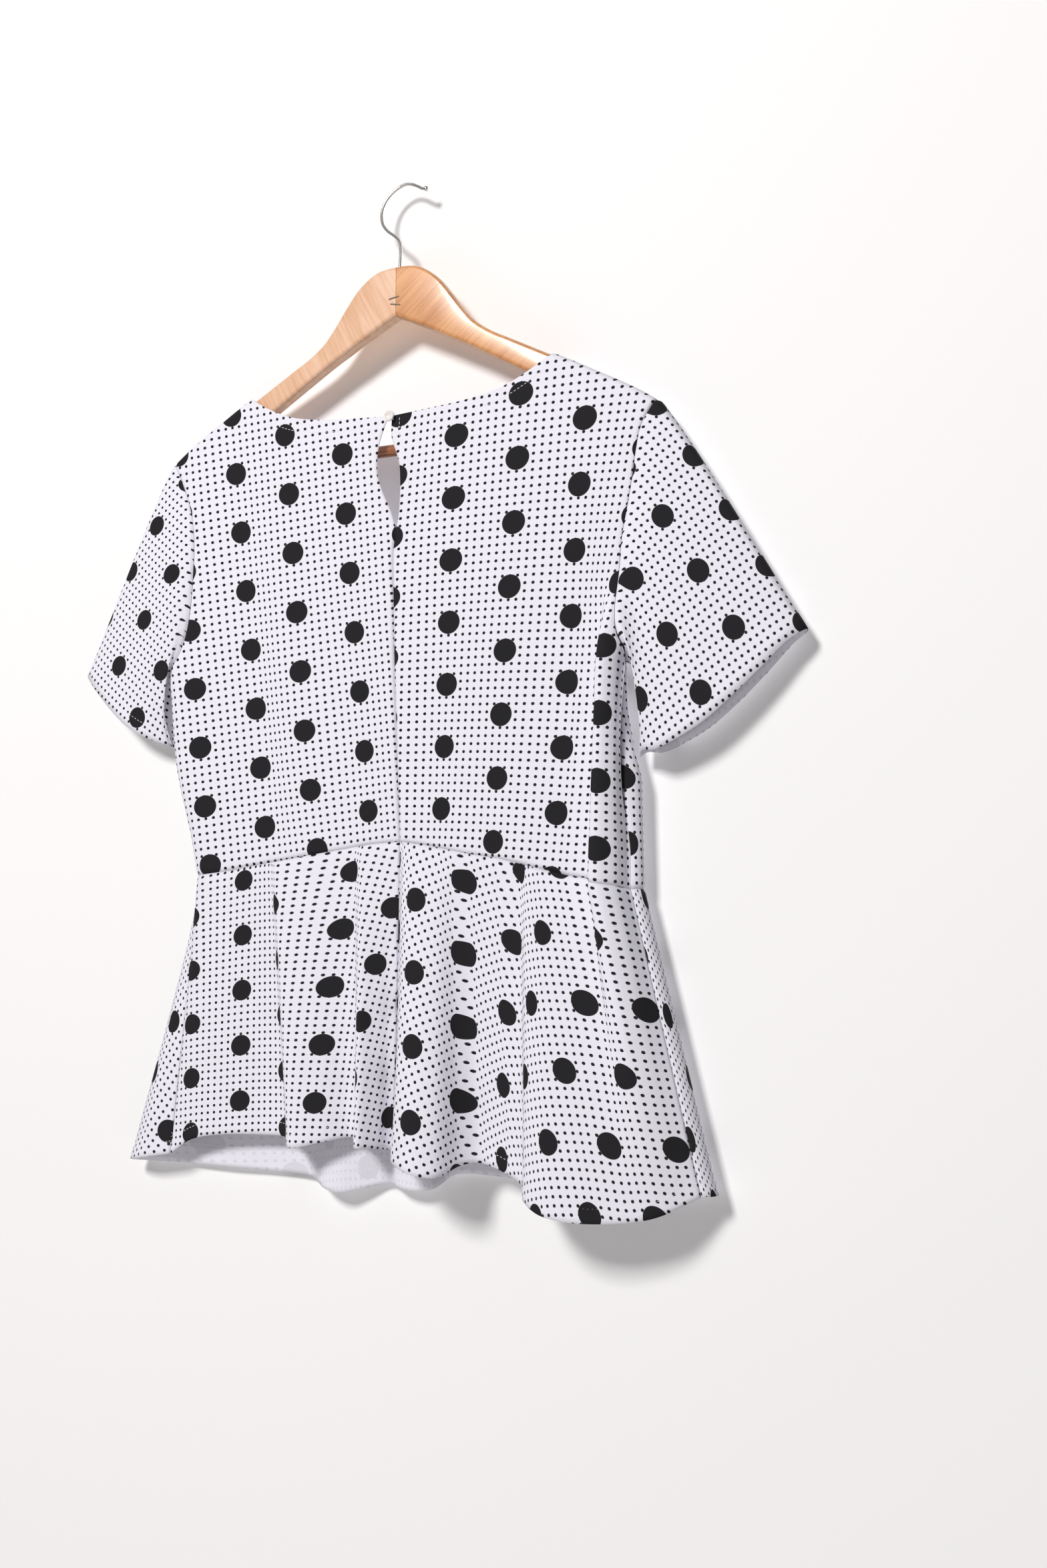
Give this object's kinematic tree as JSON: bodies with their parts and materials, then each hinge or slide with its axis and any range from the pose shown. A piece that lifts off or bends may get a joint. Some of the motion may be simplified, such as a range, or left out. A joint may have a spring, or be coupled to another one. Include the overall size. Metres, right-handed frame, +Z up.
{
  "type": "peplum top on hanger",
  "caption": "Short-sleeved top with a keyhole back and a flared peplum, hung flat on a contoured wooden hanger with a trouser bar and a wire hook.",
  "frame": {"origin": "underside of the hook's bend, where it rests on its nail", "axes": "+Z up; -Y away from the wall, the side that the back of the top faces; +X to the right of someone who looks at that back"},
  "size_m": [0.6219, 0.0651, 0.7895],
  "materials": {
    "dotted_crepe": "white polyester crepe printed with black dots of two sizes",
    "pearl_button": "pearly",
    "white_thread": "twisted sewing thread",
    "lacquered_wood": "clear satin lacquer",
    "bar_wood": "glossy brown lacquer",
    "hook_steel": "polished wire"
  },
  "bodies": {
    "root": {"back_bodice_left": "dotted_crepe", "back_bodice_right": "dotted_crepe", "front_bodice": "dotted_crepe", "sleeve_left": "dotted_crepe", "sleeve_right": "dotted_crepe", "back_peplum_left": "dotted_crepe", "back_peplum_right": "dotted_crepe", "front_peplum": "dotted_crepe", "button": "pearl_button", "button_loop": "white_thread", "hanger_arm_left": "lacquered_wood", "hanger_arm_right": "lacquered_wood", "hanger_bar": "bar_wood", "hanger_hook": "hook_steel"}
  },
  "joints": []
}
